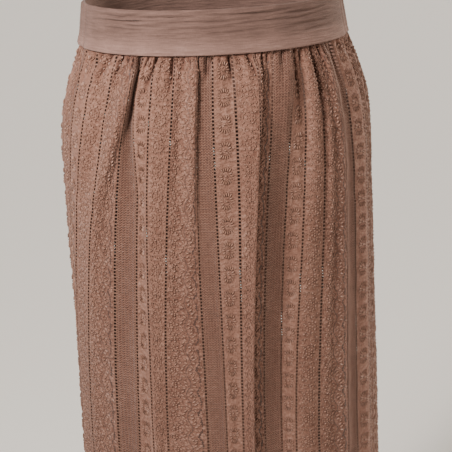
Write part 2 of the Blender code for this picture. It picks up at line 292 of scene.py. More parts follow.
def pucker(place, drop):
    """Embroidery draws thin cotton up into small soft puckers between its bands."""
    u, v = place / MM, drop / MM
    wave = np.sin(u / 3.1 + 1.7 * np.sin(v / 7.3)) * np.sin(v / 4.3 + 1.3 * np.sin(u / 5.9))
    wave += 0.7 * np.sin(u / 6.7 - v / 11.0 + 2.0 * np.sin(v / 17.0))
    return 0.40 * MM * wave


NET_STEPS = (0.001, 0.002)    # across and down a panel
SEAM_DITCH = 0.0006           # how far the cloth is drawn in where it leaves the waistband
SIDE_GROOVE = (0.0009, 0.0018)                # depth and half width of a side seam's groove
PINCH_DEPTH = 0.0052          # a valley this deep takes the darkest painted shade


def lay_cloth(hang, width, valleys):
    """A panel worked out on a fine net: its width, step sizes, points, normals and painted shading.

    Its span is the width in mm. Its painted shading is 1 on open cloth and falls to 0, full painted
    shade, down in a pinched valley, where light hardly gets, and along its top edge, tucked under the
    waistband.
    """
    net = NET_STEPS
    place = np.linspace(0, width, round(width / net[0]) + 1)
    drop = np.linspace(-TUCK, SKIRT_LENGTH, round((SKIRT_LENGTH + TUCK) / net[1]) + 1)
    points = np.empty((len(drop), len(place), 3))
    painted_shading = np.empty((len(drop), len(place), 1))
    edges = np.minimum(place, width - place)
    seam_groove = -SIDE_GROOVE[0] * np.exp(-(edges / SIDE_GROOVE[1])**2)
    for row, level in enumerate(drop):
        around, out = hang(place, level)
        out = out + (pucker(place, level) + seam_groove) * smooth(0.0, 0.006, level)
        out = out * smooth(-TUCK, 0.002, level) - SEAM_DITCH * smooth(-0.030, -0.001, -level)
        points[row, :, 0], points[row, :, 1] = on_ring(around, level, out)
        points[row, :, 2] = SEAM_HEIGHT - SEAM_GAP - level
        # painted shade: darker down in the pinched valleys, and darkest along the top edge, tucked
        # under the waistband
        valley_shade = (-valley_sums(valleys, place, level) / PINCH_DEPTH).clip(0, 1)**1.5
        painted_shading[row, :, 0] = 1 - np.maximum(valley_shade, np.exp(-max(level, 0.0) / 0.0016))
    normals = np.cross(np.gradient(points, axis=0), np.gradient(points, axis=1))
    normals /= np.linalg.norm(normals, axis=2, keepdims=True)
    return {"width": width, "span": width / MM, "net": net, "points": points,
            "normals": normals, "painted_shading": painted_shading}


def net_values(cloth, layer, place, drop):
    """One layer of a panel's net, read at these places and drops."""
    net = cloth[layer]
    across = np.clip(place / cloth["net"][0], 0, net.shape[1] - 1.001)
    down = np.clip((drop + TUCK) / cloth["net"][1], 0, net.shape[0] - 1.001)
    c, r = across.astype(int), down.astype(int)
    a, b = (across - c)[..., None], (down - r)[..., None]
    top = net[r, c] * (1 - a) + net[r, c + 1] * a
    foot = net[r + 1, c] * (1 - a) + net[r + 1, c + 1] * a
    return top * (1 - b) + foot * b


def normals_at(cloth, place, drop):
    normal = net_values(cloth, "normals", place, drop)
    return normal / np.linalg.norm(normal, axis=-1, keepdims=True)


def on_cloth(cloth, place, drop, lift):
    """Points at these places and drops of a panel, lifted off its middle surface."""
    lifted = normals_at(cloth, place, drop) * np.asarray(lift)[..., None]
    return net_values(cloth, "points", place, drop) + lifted


def columns_of(place, drop):
    """Places and drops as two columns, a row for each point."""
    return np.stack([place.ravel(), drop.ravel()], 1)


def new_object(name, data):
    """An object in the scene, made of a mesh, light or camera."""
    thing = bpy.data.objects.new(name, data)
    bpy.context.scene.collection.objects.link(thing)
    return thing


def new_piece(name, points, faces, places, painted_shading=None, sharp=60):
    """A mesh object with its cloth places and drops, in metres, as its UV map.

    Its painted shading runs from 0, full painted shade down in a crease or where thread dives into the
    cloth, to 1, in the open light.
    """
    mesh = bpy.data.meshes.new(name)
    mesh.from_pydata(points.tolist(), [], faces.tolist())
    mesh.validate()
    uv = mesh.uv_layers.new(name="cloth")
    order = np.empty(len(mesh.loops), np.int32)
    mesh.loops.foreach_get("vertex_index", order)
    uv.data.foreach_set("uv", np.asarray(places, np.float32)[order].ravel())
    if painted_shading is None:
        painted_shading = np.ones(len(points))
    mesh.attributes.new("tone_and_shading", "FLOAT", "POINT").data.foreach_set(
        "value", np.asarray(painted_shading, np.float32))
    mesh.shade_smooth()
    mesh.set_sharp_from_angle(angle=math.radians(sharp))
    return new_object(name, mesh)


def fix(piece, material):
    """Gives a piece its cloth or thread, and fixes it to the part."""
    piece.data.materials.append(material)
    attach(piece, "root")


def slab_faces(rows, columns):
    """Quads of a closed slab: an outer net of rows by columns points, then an inner one."""
    index = np.arange(rows * columns).reshape(rows, columns)
    inside = rows * columns
    a, b = index[:-1, :-1].ravel(), index[:-1, 1:].ravel()
    c, d = index[1:, 1:].ravel(), index[1:, :-1].ravel()
    parts = [np.stack([a, d, c, b], 1), np.stack([a, b, c, d], 1) + inside]
    loop = np.concatenate([index[0], index[1:, -1], index[-1, -2::-1], index[-2:0:-1, 0]])
    after = np.roll(loop, -1)
    parts.append(np.stack([loop, after, after + inside, loop + inside], 1))
    return np.concatenate(parts)


# The cloth's bands repeat every 105 mm: band, where it starts in a repeat, and its width, mm.
REPEAT = 105.0
BANDS = (
    ("medallion", 0, 25),
    ("leaf", 25, 35.5),
    ("chevron", 60.5, 21),
    ("daisy", 81.5, 23.5),
)
FRONT_START = 30.0            # place of the first whole medallion band on the front
SLIT = 1.4                    # half the width of the open row between two bands
SEAM_MARGIN = 0.15            # the panels stop this far short of the side seams, mm
ROW_MARGIN = 4.0              # and have no row of holes nearer to them than this
CLOTH_THICK = 0.0006
PANEL_ROWS = ((-TUCK / MM, 60, 2), (60, 200, 4), (200, HEM_DROP - 1, 6.5))   # from, to, step, mm


def hole_rows(cloth, start):
    """Places, mm, of the rows of holes that part the bands of a panel."""
    places = [start + REPEAT * k + band[1] for k in range(-2, 9) for band in BANDS]
    return [p for p in places if ROW_MARGIN < p < cloth["span"] - ROW_MARGIN]


def make_panel(name, cloth, start, step, slit):
    """The cloth between the rows of holes: one closed strip for each band."""
    drops = np.concatenate([np.arange(*rows) for rows in PANEL_ROWS] + [[HEM_DROP]]) * MM
    rows = hole_rows(cloth, start)
    lows = [SEAM_MARGIN] + [row + slit for row in rows]
    highs = [row - slit for row in rows] + [cloth["span"] - SEAM_MARGIN]
    points, faces, places, painted_shading = [], [], [], []
    count = 0
    for low, high in zip(lows, highs):
        columns = max(3, round((high - low) / step) + 1)
        place, drop = np.meshgrid(np.linspace(low, high, columns) * MM, drops)
        for lift in (CLOTH_THICK / 2, -CLOTH_THICK / 2):
            points.append(on_cloth(cloth, place, drop, np.full_like(place, lift)).reshape(-1, 3))
            places.append(columns_of(place, drop))
            painted_shading.append(net_values(cloth, "painted_shading", place, drop).ravel())
        faces.append(slab_faces(len(drops), columns) + count)
        count += 2 * len(drops) * columns
    return new_piece(name, np.concatenate(points), np.concatenate(faces),
                     np.concatenate(places), np.concatenate(painted_shading))


def linear(code):
    """An sRGB hex colour as the linear colour that a shader takes."""
    values = [int(code[i:i + 2], 16) / 255 for i in (1, 3, 5)]
    return (*(v / 12.92 if v <= 0.04045 else ((v + 0.055) / 1.055)**2.4 for v in values), 1.0)


def new_material(name, values):
    """A material with these values on its shader, and its node tree."""
    material = bpy.data.materials.new(name)
    material.use_nodes = True
    shader = material.node_tree.nodes["Principled BSDF"]
    for key, value in values.items():
        shader.inputs[key].default_value = value
    return material, material.node_tree


def add(tree, kind, inputs=None, **settings):
    """Adds a shader node, with its settings, and fills or links its inputs.

    A node given as an input is linked from its first output.
    """
    node = tree.nodes.new("ShaderNode" + kind)
    for name, value in settings.items():
        setattr(node, name, value)
    for key, value in (inputs or {}).items():
        if isinstance(value, bpy.types.Node):
            value = value.outputs[0]
        if isinstance(value, bpy.types.NodeSocket):
            tree.links.new(value, node.inputs[key])
        else:
            node.inputs[key].default_value = value
    return node


def colour_and_raise(tree, tone_and_shading, colours, places, height, distance):
    """Colours a cloth by its tone, with each colour at its place, and makes its height a bump."""
    ramp = add(tree, "ValToRGB", {"Fac": tone_and_shading})
    stops = ramp.color_ramp.elements
    stops.remove(stops[1])
    for i, (colour, place) in enumerate(zip(colours, places)):
        stop = stops.new(place) if i else stops[0]
        stop.position = place
        stop.color = linear(colour)
    bump = add(tree, "Bump", {"Height": height, "Strength": 1.0, "Distance": distance})
    shader = tree.nodes["Principled BSDF"]
    tree.links.new(ramp.outputs["Color"], shader.inputs["Base Color"])
    tree.links.new(bump.outputs["Normal"], shader.inputs["Normal"])


# sizes across and down, mm: slubs along the warp and along the weft, and the broad fading
WARP_SLUB = (0.5, 4.4)
WEFT_SLUB = (4.4, 0.5)
FADING = (34.0, 80.0)
PUCKER_BEND = (5.0, 5.0)      # the size of the noise that bends the puckers, and how far it does
BEND_BY = 1.6
PUCKERS_A_MM = (0.25, 0.27)   # across and down: they are about 4 mm wide
PUCKER_EDGE = 0.42            # how far from a pucker's middle the cloth is level again
VEIN_SIZE = (6.0, 9.0)        # the thin creases that wander between the puckers
VEIN_WIDTH = 0.07
ZIGZAG_ARM = 1.7              # half the width of a zigzag, mm
ZIGZAG_STEP = 1.4             # and the drop from one row of zigzags to the next
# how much each band puckers, and whether zigzag stitching fills it
BAND_RELIEF = {"medallion": (0.5, 0.0), "leaf": (0.8, 0.0), "chevron": (0.0, 1.0),
               "daisy": (0.25, 0.0)}
TONE_SPAN = (0.85, 2.05)      # the sum of the layers' tones, from darkest to lightest
SHOWN_SPAN = (0.4, 1.0)       # where on the colours these lie
PINCH_PAINTED_SHADE = 0.45             # how much painted shade darkens the cloth down in a pinched valley
COLOUR_STOPS = (0.05, 0.42, 0.70, 1.0)


def woven_cotton(name, colours, crinkle, start=None):
    """Plain-weave cotton, piece-dyed: matt and slubby, with painted shade down in its creases and
    pinched valleys and a painted highlight on its crests.

    Its threads are about 0.3 mm apart, too fine to show, so the slubs are drawn 1 mm wide.
    Crinkle is the size across and down of its soft creases and their height, mm. With a start,
    the bands carry the puckers that embroidery draws cotton up into, and the chevron bands
    their close zigzag stitching.
    """
    material, tree = new_material(name, {
        "Roughness": 0.88, "Sheen Weight": 0.07, "Sheen Roughness": 0.5,
        "Specular IOR Level": 0.25})
    where = add(tree, "UVMap", uv_map="cloth")
    mm = add(tree, "VectorMath", {0: where, 1: (1000, 1000, 1000)}, operation="MULTIPLY")
    sizes = [WARP_SLUB, WEFT_SLUB, crinkle[:2], FADING]
    if start is not None:
        sizes += [PUCKER_BEND, VEIN_SIZE]
    noises = []
    for size in sizes:
        scaled = add(tree, "VectorMath", {0: mm, 1: (*size, 1.0)}, operation="DIVIDE")
        noises.append(add(tree, "TexNoise", {"Vector": scaled, "Scale": 1.0, "Detail": 2.0,
                                             "Roughness": 0.6}))
    warp, weft, creases, fading = noises[:4]
    weave = add(tree, "Math", {0: warp, 1: weft}, operation="ADD")
    height = add(tree, "Math", {0: weave, 1: 0.12}, operation="MULTIPLY")
    tone_and_shading = add(tree, "Math", {0: weave, 1: 0.55}, operation="MULTIPLY")
    # each layer, how far it stands out, mm, and how much lighter it is: the slubs and the broad fading
    # are the cloth's own uneven tone, while the crinkles carry a painted highlight on their crests and
    # painted shade in their hollows
    layers = [(creases, crinkle[2], 1.1), (fading, 0.0, 0.7)]
    if start is not None:
        bends, veins = noises[4:]
        axes = add(tree, "SeparateXYZ", {0: mm})
        shifted = add(tree, "Math", {0: axes, 1: start}, operation="SUBTRACT")
        local = add(tree, "Math", {0: shifted, 1: REPEAT}, operation="FLOORED_MODULO")
        share = add(tree, "Math", {0: local, 1: REPEAT}, operation="DIVIDE")
        bands = add(tree, "ValToRGB", {"Fac": share})
        bands.color_ramp.interpolation = "CONSTANT"
        bands.color_ramp.elements.remove(bands.color_ramp.elements[1])
        for band, begins, _ in BANDS:
            stop = bands.color_ramp.elements[0] if begins == 0 else (
                bands.color_ramp.elements.new(begins / REPEAT))
            stop.color = (*BAND_RELIEF[band], 0.0, 1.0)
        relief = add(tree, "SeparateColor", {0: bands})
        stitched = relief.outputs["Green"]
        # puckers
        spread = add(tree, "VectorMath", {0: mm, 1: (*PUCKERS_A_MM, 0.0)}, operation="MULTIPLY")
        bent = add(tree, "VectorMath", {
            0: bends.outputs["Color"], 1: (BEND_BY, BEND_BY, 0.0), 2: spread},
            operation="MULTIPLY_ADD")
        cell = add(tree, "TexVoronoi", {"Vector": bent, "Scale": 1.0}, feature="F1",
                   voronoi_dimensions="2D")
        sunk = add(tree, "Math", {0: cell, 1: PUCKER_EDGE}, operation="SUBTRACT")
        dent = add(tree, "Math", {0: sunk, 1: relief}, operation="MULTIPLY")
        # thin creases that wander between them
        apart = add(tree, "Math", {0: veins, 1: 0.5}, operation="SUBTRACT")
        apart = add(tree, "Math", {0: apart}, operation="ABSOLUTE")
        vein = add(tree, "MapRange", {
            "Value": apart, "From Max": VEIN_WIDTH, "To Min": 1.0, "To Max": 0.0})
        vein = add(tree, "Math", {0: vein, 1: relief}, operation="MULTIPLY")
        # zigzag stitching
        arm = add(tree, "Math", {0: local, 1: ZIGZAG_ARM}, operation="PINGPONG")
        slope = add(tree, "Math", {0: arm, 1: axes.outputs["Y"]}, operation="ADD")
        zigzag = add(tree, "Math", {0: slope, 1: ZIGZAG_STEP}, operation="PINGPONG")
        zigzag = add(tree, "Math", {0: zigzag, 1: ZIGZAG_STEP / 2}, operation="SUBTRACT")
        zigzag = add(tree, "Math", {0: zigzag, 1: stitched}, operation="MULTIPLY")
        # painted shade in the puckers' dips, down the veins and on the ground between a band's raised
        # stitches; the chevron bands are darker all through and their zigzags lighter where they stand
        # out
        layers += [(dent, -1.2, -0.9), (vein, -0.45, -0.35), (relief, 0.0, -0.1),
                   (zigzag, 0.8, 0.7), (stitched, 0.0, -0.36)]
    for layer, to_height, to_tone in layers:
        height = add(tree, "Math", {0: layer, 1: to_height, 2: height},
                     operation="MULTIPLY_ADD")
        tone_and_shading = add(tree, "Math", {0: layer, 1: to_tone, 2: tone_and_shading}, operation="MULTIPLY_ADD")
    lit = add(tree, "MapRange", {
        "Value": tone_and_shading, "From Min": TONE_SPAN[0], "From Max": TONE_SPAN[1],
        "To Min": SHOWN_SPAN[0], "To Max": SHOWN_SPAN[1]})
    # the tone attribute is painted shade, darkening the cloth down in a pinched valley and under the
    # waistband
    painted_lighting = add(tree, "Attribute", attribute_name="tone_and_shading").outputs["Fac"]
    lifted = add(tree, "Math", {0: lit, 1: PINCH_PAINTED_SHADE}, operation="SUBTRACT")
    shown = add(tree, "Math", {0: painted_lighting, 1: PINCH_PAINTED_SHADE, 2: lifted},
                operation="MULTIPLY_ADD")
    colour_and_raise(tree, shown, colours, COLOUR_STOPS, height, MM)
    return material


# painted shade down in a pinched valley, painted shade in a crease, the open cloth's own colour, and a
# painted highlight on a crest
CLOTH_COLOURS_AND_SHADING = ("#38201a", "#5a3b2f", "#755447", "#947568")
CLOTH_CRINKLE = (5.2, 3.6, 2.4)
FRONT_STEP = 1.5              # width of the front panel's columns of faces, mm

front_cloth = lay_cloth(front_hang, FRONT_CLOTH, FRONT_VALLEYS)
front_panel = make_panel("front_panel", front_cloth, FRONT_START, FRONT_STEP, SLIT)
fix(front_panel, woven_cotton("eyelet_cotton_front", CLOTH_COLOURS_AND_SHADING, CLOTH_CRINKLE, FRONT_START))
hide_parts("skirt_front")

# ---- BACK PANEL ----
# The same cloth, 680 mm wide, drawn up fuller on the elastic. It hangs from one side seam
# round to the other, in folds like the front's.
BACK_CLOTH = 0.680
BACK_GATHERS = 36
BACK_START = 29.0
BACK_STEP = 2.3
BACK_SLIT = 1.0               # the back's rows are drawn a little closer by the elastic

# line, its place on the cloth, and how far on from its even place it hangs, mm
BACK_LINES = (
    ("side seam, left", 0, 0),
    ("before fold 9", 110, 0),
    ("lip of fold 9", 158, -4),
    ("foot of fold 9", 180, -14.5),
    ("fold 10", 260, -5),
    ("before fold 12", 330, -2),
    ("foot of fold 12", 384, 5),
    ("lip of fold 12", 406, -6),
    ("fold 13", 455, -6),
    ("before fold 14", 530, 0),
    ("foot of fold 14", 560, 4),
    ("lip of fold 14", 581, -6.5),
    ("fold 15", 640, -3.5),
    ("side seam, right", 680, 0),
)
BACK_FOLDS = (
    ("fold 8", 62, 66, 32, 0.4, 4, 7, 8, 8),
    ("fold 9", 148, 147, 32, 0.9, 5, 9, 9.5, 9),
    ("fold 10", 232, 236, 34, -0.3, 4, 8, 9.5, 10),
    ("fold 11", 318, 315, 34, 0.4, 4, 8, 10, 10),
    ("fold 12", 416, 417, 34, -0.9, 5, 9, 10, 9.5),
    ("fold 13", 497, 499, 32, 0.3, 4, 7, 8, 9),
    ("fold 14", 591, 592, 31, -0.9, 5, 8.5, 8.5, 8),
    ("fold 15", 650, 649, 20, 0, 1, 3, 4, 4),
)
BACK_VALLEYS = (
    (9, 8, 30, 5, 2), (26, 24, 52, 6.5, 3.6), (41, 42, 18, 5, 2.2), (55, 50, 26, 5, 3),
    (72, 74, 14, 4.5, 1.8), (89, 92, 84, 8, 3.8), (104, 104, 16, 4.5, 2.2), (118, 112, 38, 5.5, 3.4),
    (134, 133, 14, 4.5, 2), (150, 151, 20, 5, 2.4), (172, 178, 90, 7, 4), (188, 187, 16, 4.5, 2.2),
    (201, 205, 34, 5.5, 3.2), (217, 216, 12, 4, 1.8), (233, 230, 24, 5, 2.6), (252, 256, 70, 7, 3.8),
    (266, 266, 14, 4.5, 2), (281, 276, 36, 5.5, 3.4), (299, 300, 18, 5, 2.4), (318, 317, 12, 4, 1.8),
    (337, 343, 78, 8, 3.8), (353, 352, 16, 4.5, 2.2), (367, 363, 28, 5, 3), (385, 384, 92, 7, 4),
    (402, 403, 14, 4.5, 2.2), (419, 421, 20, 5, 2.4), (436, 431, 34, 5.5, 3.2),
    (453, 455, 66, 7.5, 3.8), (470, 470, 14, 4.5, 2), (487, 484, 24, 5, 2.6), (505, 506, 12, 4, 1.8),
    (520, 525, 60, 7, 3.6), (538, 536, 18, 5, 2.4), (556, 556, 88, 7, 4), (573, 574, 14, 4.5, 2),
    (590, 586, 26, 5, 2.8), (607, 608, 16, 4.5, 2.2), (624, 628, 64, 7.5, 3.6), (641, 640, 14, 4.5, 2),
    (655, 651, 30, 5, 3), (669, 670, 24, 5, 2),
)
BACK_CREASES = (
    (22, 24, 0, 80, 6, -1.4), (44, 40, 0, 60, 5, -1.3), (88, 92, 0, 120, 7, -1.6),
    (112, 106, 0, 70, 5, 1.4), (124, 120, 0, 48, 5, -1.5), (196, 200, 0, 90, 6, -1.5),
    (214, 210, 0, 55, 5, -1.3), (252, 256, 0, 100, 6, -1.4), (274, 276, 0, 130, 7, -1.6),
    (296, 290, 0, 60, 5, 1.4), (342, 346, 0, 84, 6, -1.5), (366, 362, 0, 50, 5, -1.4),
    (396, 392, 0, 70, 5, -1.4), (446, 452, 0, 120, 7, -1.6), (470, 468, 0, 66, 5, 1.3),
    (516, 520, 0, 90, 6, -1.5), (538, 536, 0, 58, 5, -1.4), (566, 560, 0, 76, 5, -1.5),
    (624, 626, 0, 110, 6, -1.5), (660, 658, 0, 70, 5, -1.3), (100, 104, 160, 480, 9, -1),
    (190, 196, 200, 520, 10, -1.2), (276, 280, 180, 430, 9, -1), (356, 352, 240, 600, 10, 1),
    (458, 456, 170, 500, 9, -1.1), (536, 542, 210, 560, 10, -1.2), (628, 624, 190, 460, 9, -1),
)


def back_hang(place, drop):
    """The back panel, from the left side seam round the back to the right one."""
    lines = front_lines_around(drop)
    left, end = lines[-1], ring_length(drop) + lines[0]
    shifts = np.interp(place, [line[1] * MM for line in BACK_LINES],
                       [line[2] * MM for line in BACK_LINES])
    settled = 0.5 + 0.5 * smooth(0.0, 0.12, drop)
    around = left + (end - left) * place / BACK_CLOTH + shifts * settled
    out, aside = drape(place, drop, BACK_CLOTH, BACK_GATHERS, BACK_FOLDS, BACK_VALLEYS,
                       BACK_CREASES)
    return around + aside, out


back_cloth = lay_cloth(back_hang, BACK_CLOTH, BACK_VALLEYS)
back_panel = make_panel("back_panel", back_cloth, BACK_START, BACK_STEP, BACK_SLIT)
fix(back_panel, woven_cotton("eyelet_cotton_back", CLOTH_COLOURS_AND_SHADING, CLOTH_CRINKLE, BACK_START))
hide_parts("skirt_back")

# ---- ROWS OF HOLES ----
# Between the bands the cloth is opened in rows of small square holes: bars of thread cross
# each row, and a whipped edge runs down either side of it.
PITCH_DOWN = 27.0             # the embroidery repeats this far down the cloth, mm
HOLE_PITCH = PITCH_DOWN / 7
BAR = 1.85                    # height of the bar between two holes, mm
BACK_BAR = 2.7
# a bar's underside, edge, crest and other edge: how far off the cloth, mm, and its painted shading,
# painted shade below and at the edges and a painted highlight on the crest
BAR_LIFTS = (-0.28, 0, 0.34, 0)
BAR_SHADING = (0.1, 0.15, 0.6, 0.15)


def join(parts):
    """Joins (points, faces, places, tones) sets into one."""
    count = 0
    shifted = []
    for points, faces, places, painted_shading in parts:
        shifted.append((points, faces + count, places, painted_shading))
        count += len(points)
    return [np.concatenate(values) for values in zip(*shifted)]


def prisms(cloth, place, drop, lift, painted_shading):
    """Closed four-sided bundles of thread, all mm.

    The last axis goes round a bundle's section and the one before it runs along the bundle.
    """
    place, drop, lift, painted_shading = np.broadcast_arrays(place, drop, lift, painted_shading)
    points = on_cloth(cloth, place * MM, drop * MM, lift * MM).reshape(-1, 3)
    index = np.arange(place.size).reshape(place.shape)
    after = np.roll(index, -1, axis=-1)
    sides = np.stack([index[..., 1:, :], after[..., 1:, :], after[..., :-1, :],
                      index[..., :-1, :]], -1)
    parts = [sides, index[..., 0, :], index[..., -1, ::-1]]
    faces = np.concatenate([part.reshape(-1, 4) for part in parts])
    return points, faces, columns_of(place, drop) * MM, painted_shading.ravel()


def rails(cloth, places, half_width, height, step, crest_highlight):
    """Fine raised cords down the cloth from seam to hem, with painted shade at their sides and
    underneath and a painted highlight of this tone on top.
    """
    drops = np.concatenate([np.arange(1, 60, 2.5), np.arange(60, HEM_DROP - 1.5, step),
                            [HEM_DROP - 0.8]])
    across = np.array([-half_width, 0, half_width, 0])
    lift = np.array([0, height, 0, -height]) + CLOTH_THICK / MM / 3
    return prisms(cloth, np.asarray(places)[:, None, None] + across, drops[:, None], lift,
                  (0.1, crest_highlight, 0.1, 0.1))


def bars(cloth, places, slit, bar):
    """The bars of thread that cross the open rows, each a flat bundle."""
    middles = np.arange(HOLE_PITCH, HEM_DROP - 2, HOLE_PITCH) - HOLE_PITCH / 2
    ends = np.array([-slit - 0.1, slit + 0.1])[:, None]
    down = np.array([0, bar / 2, 0, -bar / 2])
    return prisms(cloth, np.asarray(places)[:, None, None, None] + ends,
                  middles[:, None, None] + down, BAR_LIFTS, BAR_SHADING)


THREADS_A_METRE = 1400
THREAD_HEIGHT = 0.00015
FLOSS_STOPS = (0.24, 0.6, 1.0)


def cotton_floss(name, colours):
    """Mercerised embroidery cotton: laid in close strands, a little glossier than the cloth."""
    material, tree = new_material(name, {
        "Roughness": 0.62, "Sheen Weight": 0.08, "Specular IOR Level": 0.4})
    where = add(tree, "UVMap", uv_map="cloth")
    strands = add(tree, "VectorMath", {0: where, 1: (THREADS_A_METRE,) * 3},
                  operation="MULTIPLY")
    twist = add(tree, "TexNoise", {"Vector": strands, "Scale": 1.0, "Detail": 2.0})
    # the tone attribute is painted shading: painted shade at a stitch's rim, a painted highlight on
    # its crown; the twist is the thread's own uneven tone
    tone_and_shading = add(tree, "Attribute", attribute_name="tone_and_shading").outputs["Fac"]
    mixed = add(tree, "Math", {0: twist, 1: 0.3, 2: tone_and_shading}, operation="MULTIPLY_ADD")
    shown = add(tree, "MapRange", {"Value": mixed, "From Max": 1.25})
    colour_and_raise(tree, shown, colours, FLOSS_STOPS, twist, THREAD_HEIGHT)
    return material


# painted shade at each stitch's rim, the thread's own colour, and a painted highlight on its crown
floss = cotton_floss("tonal_floss", ("#341e16", "#765444", "#926f5f"))


def dress(name, parts):
    """Makes a piece of needlework out of parts, in the tonal thread."""
    piece = new_piece(name, *join(parts), sharp=75)
    fix(piece, floss)
    return piece


EDGE_CORD = (0.36, 0.28, 6.5, 0.7)            # half width, height and step, mm, and the painted highlight on top
needlework = {"front": [], "back": []}
panels = (("front", front_cloth, FRONT_START, SLIT, BAR),
          ("back", back_cloth, BACK_START, BACK_SLIT, BACK_BAR))
for side, cloth, start, slit, bar in panels:
    rows = hole_rows(cloth, start)
    edges = [row + offset for row in rows for offset in (-slit, slit)]
    needlework[side].append(dress(side + "_hole_rows", [rails(cloth, edges, *EDGE_CORD),
                                                        bars(cloth, rows, slit, bar)]))

# ---- EMBROIDERY ----
# Tone-on-tone satin stitches, raised off the cloth: a column of daisies, one of roses and
# scrolls, a wide leafy vine, and ribs between the zigzags. The charts are in mm.


def petals(angles, radius, length, width, height, middle=(0.0, 0.0)):
    """Stitches that point out from a middle."""
    return tuple((middle[0] + radius * math.cos(math.radians(a)),
                  middle[1] + radius * math.sin(math.radians(a)), length, width, a, height)
                 for a in angles)


def ring_of(count, radius_across, radius_down, length, width, height, middle=(0.0, 0.0)):
    """Stitches laid end to end round an oval."""
    laid = []
    for i in range(count):
        angle = 2 * math.pi * (i + 0.5) / count
        across = radius_across * math.cos(angle)
        down = radius_down * math.sin(angle)
        turn = math.degrees(math.atan2(radius_down * math.cos(angle),
                                       -radius_across * math.sin(angle)))
        laid.append((middle[0] + across, middle[1] + down, length, width, turn, height))
    return tuple(laid)


def curve_of(points, width, height, overlap=1.25):
    """Stitches laid end to end along a line of points."""
    laid = []
    for (x0, y0), (x1, y1) in zip(points[:-1], points[1:]):
        length = math.hypot(x1 - x0, y1 - y0) * overlap
        turn = math.degrees(math.atan2(y1 - y0, x1 - x0))
        laid.append(((x0 + x1) / 2, (y0 + y1) / 2, length, width, turn, height))
    return tuple(laid)


def arc(middle, radius_across, radius_down, start, end, steps):
    """Points along part of an oval, angles in degrees."""
    angles = [math.radians(start + (end - start) * i / steps) for i in range(steps + 1)]
    return [(middle[0] + radius_across * math.cos(a), middle[1] + radius_down * math.sin(a))
            for a in angles]


# a stitch: across and down from the motif's middle, length, width, turn (degrees), height
DAISY = (
    ((0, 0, 3.4, 2.8, 0, 1.1),)
    + petals((0, 180), 5.6, 5.4, 2, 0.9) + petals((29, 151, 209, 331), 5.4, 4.6, 1.9, 0.9)
    + petals((54, 72, 90, 108, 126), 7.2, 5.4, 1.9, 0.95)
    + petals((234, 252, 270, 288, 306), 7.2, 5.4, 1.9, 0.95)
)
MEDALLION = (
    ((0, 0, 2, 1.8, 0, 0.9),)
    + petals(range(30, 390, 60), 3, 2.8, 1.7, 0.9)
    + ring_of(9, 5.7, 5.9, 3.9, 1.7, 0.9)
    + petals((45, 135, 225, 315), 8.4, 3.4, 2, 0.9) + petals((0, 180), 8.7, 3, 1.8, 0.8)
    + petals((72, 108, 252, 288), 8.2, 2.6, 1.6, 0.8)
    + curve_of(arc((-3.2, 12.8), 2.4, 2, 120, 390, 4), 1.6, 0.8)
    + curve_of(arc((3.4, 14.4), 2.4, 2, 300, 30, 4), 1.6, 0.8)
    + ((-7.8, 12.4, 3.4, 1.8, 58, 0.8), (8, 12, 3.2, 1.8, -58, 0.8),
       (-6.4, 16.2, 3, 1.6, -36, 0.8), (7.6, 17, 2.8, 1.6, 40, 0.8))
)
LEAF = (
    # a bent stem, low between its leaves, and a second one, sunk deep at the band's side, so low that
    # it takes dark painted shade
    curve_of([(1.6, 0), (3.4, 3.4), (4.2, 6.8), (3.4, 10.2), (1.4, 13.5), (0.2, 17),
              (-0.2, 20.4), (0.4, 23.8), (1.6, 27)], 1.3, 0.35)
    + curve_of([(12.6, 0), (13.4, 3), (12.2, 6.2), (13, 9.4), (10.8, 12.8), (9.2, 16),
                (10.2, 19), (12.6, 22.4), (12, 25), (12.6, 27)], 2.7, 0.2)
    # leaves that stand off the stem, right then left
    + ((6, 1, 5, 2.2, -38, 1), (7.4, 4.6, 4.8, 2.2, -24, 1),
       (7.2, 9, 5, 2.2, 28, 1), (5.2, 12.6, 4.6, 2.1, 42, 1),
       (3.8, 17, 4.8, 2.1, -30, 0.9), (4, 21.2, 4.8, 2.2, -42, 1),
       (6.4, 24, 4.4, 2, -60, 0.9), (-0.6, 4.4, 4.6, 2, 40, 0.9),
       (0.2, 8.6, 4.4, 2, 32, 0.9), (-1.6, 12.2, 4.4, 2, -36, 0.9),
       (-3.2, 16.2, 4.8, 2.2, -44, 1), (-3.6, 20.4, 4.6, 2.1, 34, 0.9),
       (-2.2, 24.4, 4.6, 2.1, 44, 1), (14.6, 13.6, 3.4, 1.8, 50, 0.9),
       (7.2, 20.6, 3.4, 1.7, 40, 0.8), (9.6, 2.6, 3.2, 1.7, -20, 0.8))
    # two small flowers on the other side, with buds and tendrils between
    + petals(range(18, 378, 72), 2.7, 3, 2, 1, (-9, 5.2))
    + petals(range(54, 414, 72), 2.7, 3, 2, 1, (-9.6, 19))
    + ((-9, 5.2, 1.7, 1.5, 0, 1.1), (-9.6, 19, 1.7, 1.5, 0, 1.1),
       (-5, 1.2, 3.4, 1.7, -30, 0.8), (-4.4, 8.6, 3.4, 1.7, 60, 0.8),
       (-13.2, 10, 3.4, 1.7, 66, 0.8), (-9, 11, 3.6, 1.8, -40, 0.9),
       (-6.4, 12.8, 3.2, 1.6, 22, 0.8), (-11.6, 13.6, 3.4, 1.7, 20, 0.8),
       (-13.4, 1, 3.2, 1.7, -64, 0.8), (-9.4, 0.2, 3, 1.6, 16, 0.8),
       (-13.6, 23.8, 3.4, 1.7, 60, 0.8), (-6.4, 23.6, 3.2, 1.7, -50, 0.8))
    + curve_of([(-14.4, 15), (-13.8, 17.4), (-14.4, 19.8)], 1.4, 0.7)
)
